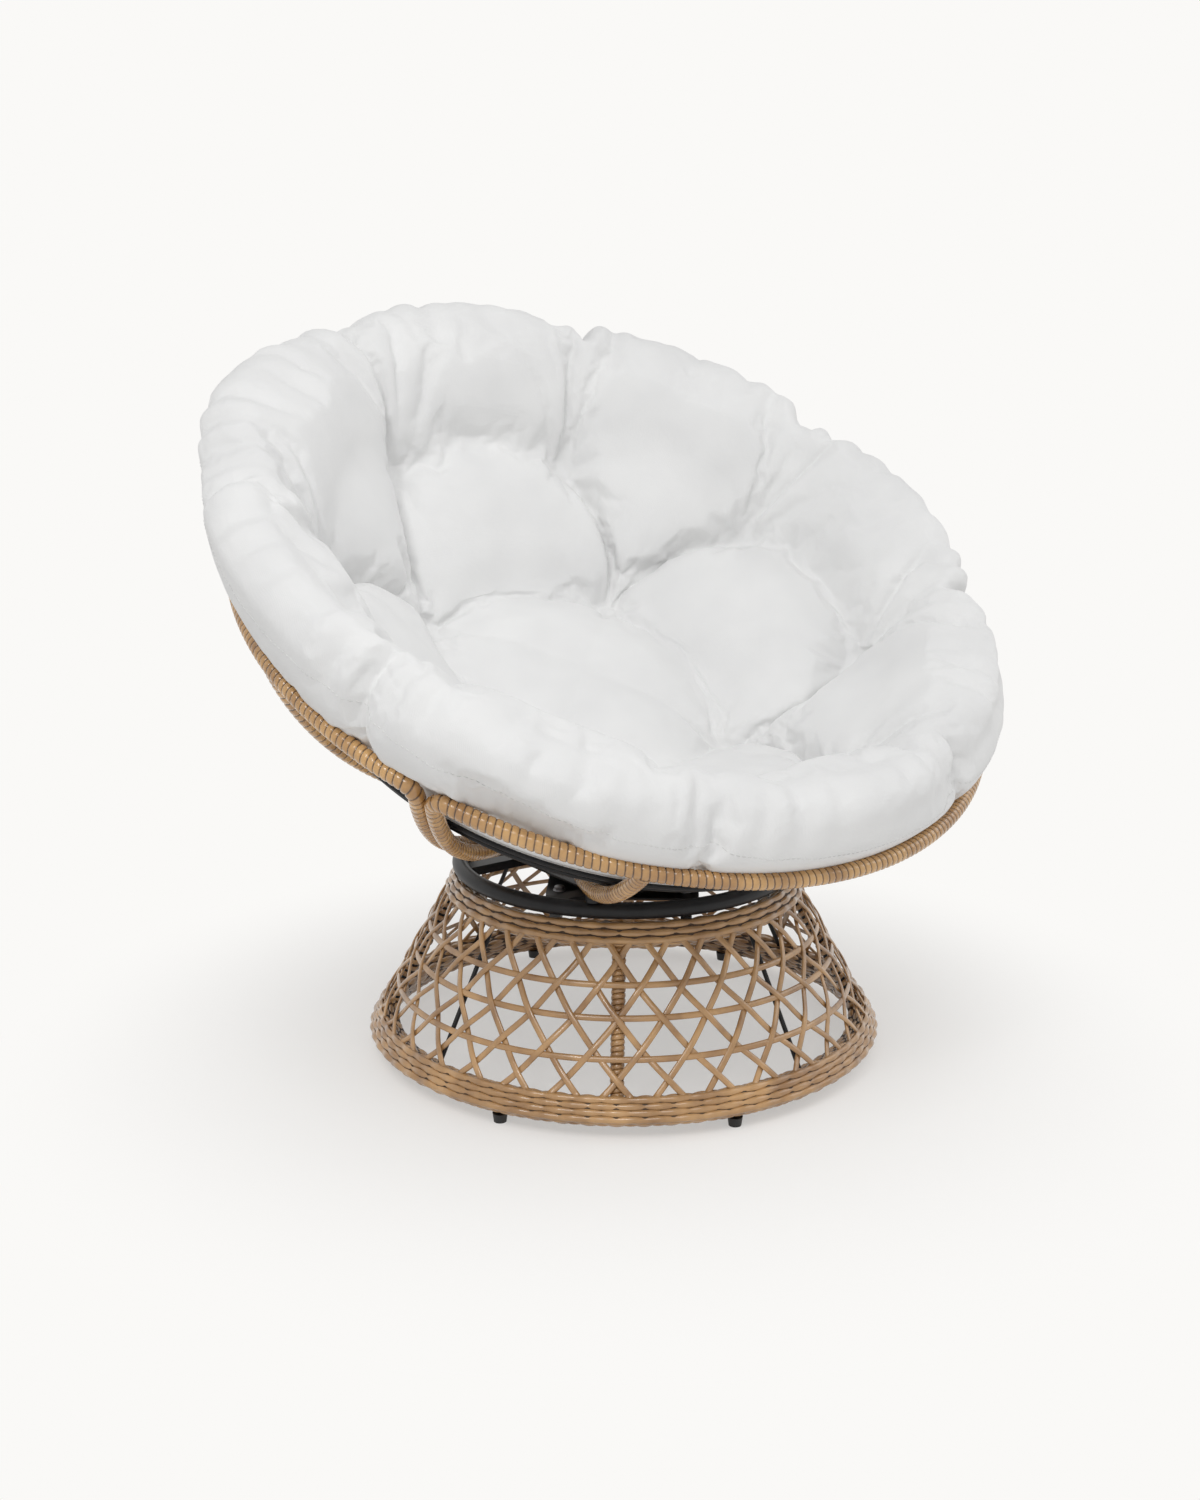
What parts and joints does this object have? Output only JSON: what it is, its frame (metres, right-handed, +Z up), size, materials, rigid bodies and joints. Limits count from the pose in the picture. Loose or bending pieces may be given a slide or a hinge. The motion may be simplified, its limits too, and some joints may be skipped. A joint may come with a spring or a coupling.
{
  "type": "swivel armchair",
  "caption": "Round tufted cushion in a tilted bowl of wicker-wrapped tubes, bolted to a black ring that turns on an open-weave wicker stand.",
  "frame": {"origin": "on the floor, on the swivel axis", "axes": "+Z up along the swivel axis; the seat's low front faces -Y at rest; +X is to the right seen from the front, as the viewer faces +Y"},
  "size_m": [1.0486, 0.9448, 0.9662],
  "materials": {
    "black_steel": "satin black powder coat",
    "bolt_steel": "zinc plated",
    "bowl_wicker": "golden tan resin wicker wound tightly round the tube",
    "stand_wicker": "brown resin wicker strand",
    "foot_plastic": "black moulded glide",
    "bearing_nylon": "natural nylon",
    "cushion_fabric": "white plain-weave cover, tufted"
  },
  "bodies": {
    "stand": {"front_post": "black_steel", "right_post": "black_steel", "back_post": "black_steel", "left_post": "black_steel", "post_wraps": "stand_wicker", "stake_rods": "black_steel", "top_band": "stand_wicker", "bottom_band": "stand_wicker", "weave_strands_right": "stand_wicker", "weave_strands_left": "stand_wicker", "upper_weave_hoop": "stand_wicker", "middle_weave_hoop": "stand_wicker", "lower_weave_hoop": "stand_wicker", "foot_glides": "foot_plastic", "cross_bars": "black_steel", "lower_swivel_plate": "black_steel", "bearing_ring": "bearing_nylon", "kingpin": "bolt_steel"},
    "seat": {"upper_swivel_plate": "black_steel", "swivel_ring": "black_steel", "turning_bars": "black_steel", "front_bowl_section": "bowl_wicker", "right_bowl_section": "bowl_wicker", "left_bowl_section": "bowl_wicker", "single_ribs": "bowl_wicker", "hub_ring": "bowl_wicker", "upper_bowl_hoop": "black_steel", "middle_bowl_hoop": "black_steel", "lower_bowl_hoop": "black_steel", "front_saddles": "black_steel", "rear_risers": "black_steel", "cushion": "cushion_fabric"}
  },
  "joints": [
    {"name": "seat_swivel", "type": "hinge", "parent": "stand", "child": "seat", "pos_m": [0, 0, 0.2335], "axis": [0, 0, 1], "continuous": true}
  ]
}
